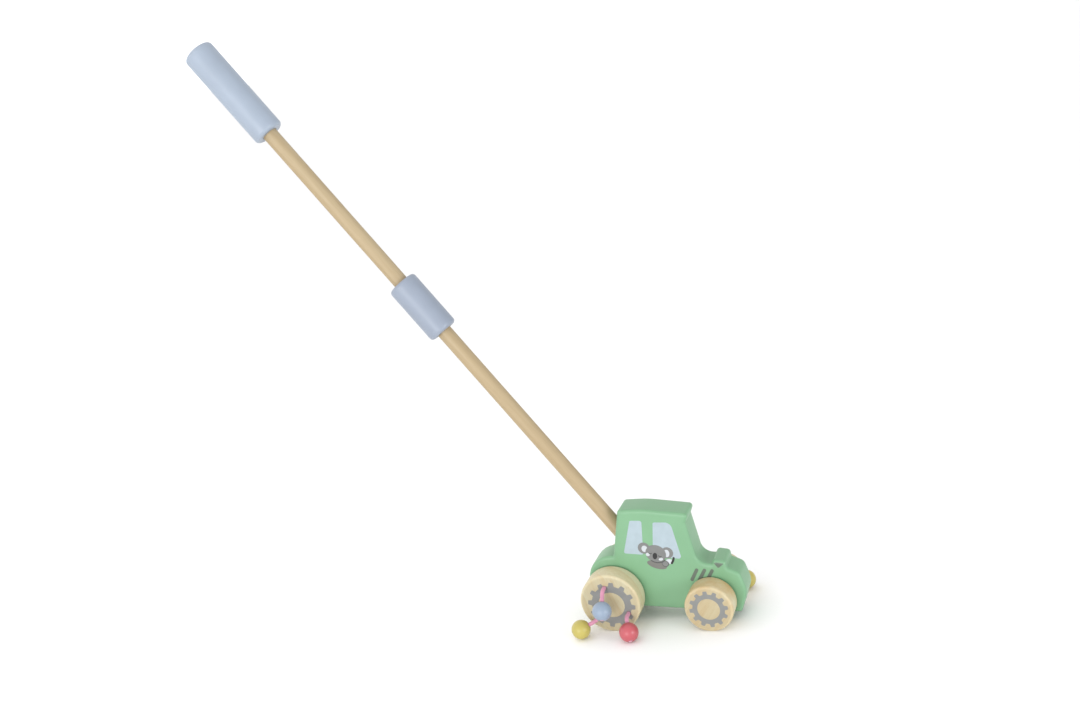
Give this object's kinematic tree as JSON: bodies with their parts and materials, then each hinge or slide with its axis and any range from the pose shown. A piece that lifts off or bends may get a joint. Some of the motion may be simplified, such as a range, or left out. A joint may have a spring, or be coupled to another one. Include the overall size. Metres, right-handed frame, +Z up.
{
  "type": "push-along tractor toy",
  "caption": "Wooden push-along tractor: painted block body, round wooden wheels, clapper beads on cords, and a leaning two-piece rod with a grip.",
  "frame": {"origin": "on the floor, below the middle of the toy's length and width", "axes": "+X forward, +Z up, +Y to the toy's left; both wheel sets turn about Y"},
  "size_m": [0.377, 0.1052, 0.4876],
  "materials": {
    "green_paint": "satin mint-green paint on wood",
    "blue_paint": "satin pale-blue paint on wood",
    "rod_wood": "lightly lacquered dowel, grain along its length",
    "bare_wood": "clear satin lacquer on pale end-grain and flat-grain wood",
    "bead_blue": "satin paint on a turned bead",
    "bead_red": "satin paint on a turned bead",
    "bead_yellow": "satin paint on a turned bead",
    "cord": "braided round cotton cord"
  },
  "bodies": {
    "root": {"body_block": "green_paint", "rod_lower": "rod_wood", "rod_upper": "rod_wood", "rod_coupling": "blue_paint", "handle_grip": "blue_paint"},
    "rear_wheels": {"rear_axle": "bare_wood", "rear_wheel_right": "bare_wood", "rear_wheel_left": "bare_wood"},
    "front_wheels": {"front_axle": "bare_wood", "front_wheel_right": "bare_wood", "front_wheel_left": "bare_wood"},
    "clapper_blue_rear_right": {"bead_blue_rear_right": "bead_blue", "cord_blue_rear_right": "cord"},
    "clapper_red_rear_right": {"bead_red_rear_right": "bead_red", "cord_red_rear_right": "cord"},
    "clapper_yellow_rear_right": {"bead_yellow_rear_right": "bead_yellow", "cord_yellow_rear_right": "cord"},
    "clapper_blue_front_left": {"bead_blue_front_left": "bead_blue", "cord_blue_front_left": "cord"},
    "clapper_red_front_left": {"bead_red_front_left": "bead_red", "cord_red_front_left": "cord"},
    "clapper_yellow_front_left": {"bead_yellow_front_left": "bead_yellow", "cord_yellow_front_left": "cord"}
  },
  "joints": [
    {"name": "rear_axle_spin", "type": "hinge", "parent": "root", "child": "rear_wheels", "pos_m": [0.08613, 0, 0.0238], "axis": [0, 1, 0], "continuous": true},
    {"name": "front_axle_spin", "type": "hinge", "parent": "root", "child": "front_wheels", "pos_m": [0.16255, 0, 0.0186], "axis": [0, 1, 0], "continuous": true},
    {"name": "blue_rear_right_swing", "type": "hinge", "parent": "rear_wheels", "child": "clapper_blue_rear_right", "pos_m": [0.08383, -0.031, 0.0374], "axis": [0, 1, 0], "range_deg": [-50, 50]},
    {"name": "red_rear_right_swing", "type": "hinge", "parent": "rear_wheels", "child": "clapper_red_rear_right", "pos_m": [0.09983, -0.031, 0.0157], "axis": [0, 1, 0], "range_deg": [-50, 50]},
    {"name": "yellow_rear_right_swing", "type": "hinge", "parent": "rear_wheels", "child": "clapper_yellow_rear_right", "pos_m": [0.07593, -0.031, 0.013], "axis": [0, 1, 0], "range_deg": [-50, 50]},
    {"name": "blue_front_left_swing", "type": "hinge", "parent": "front_wheels", "child": "clapper_blue_front_left", "pos_m": [0.15715, 0.031, 0.0276], "axis": [0, 1, 0], "range_deg": [-45, 12]},
    {"name": "red_front_left_swing", "type": "hinge", "parent": "front_wheels", "child": "clapper_red_front_left", "pos_m": [0.15745, 0.031, 0.0094], "axis": [0, 1, 0], "range_deg": [-45, 12]},
    {"name": "yellow_front_left_swing", "type": "hinge", "parent": "front_wheels", "child": "clapper_yellow_front_left", "pos_m": [0.17305, 0.031, 0.0188], "axis": [0, 1, 0], "range_deg": [-45, 12]}
  ]
}
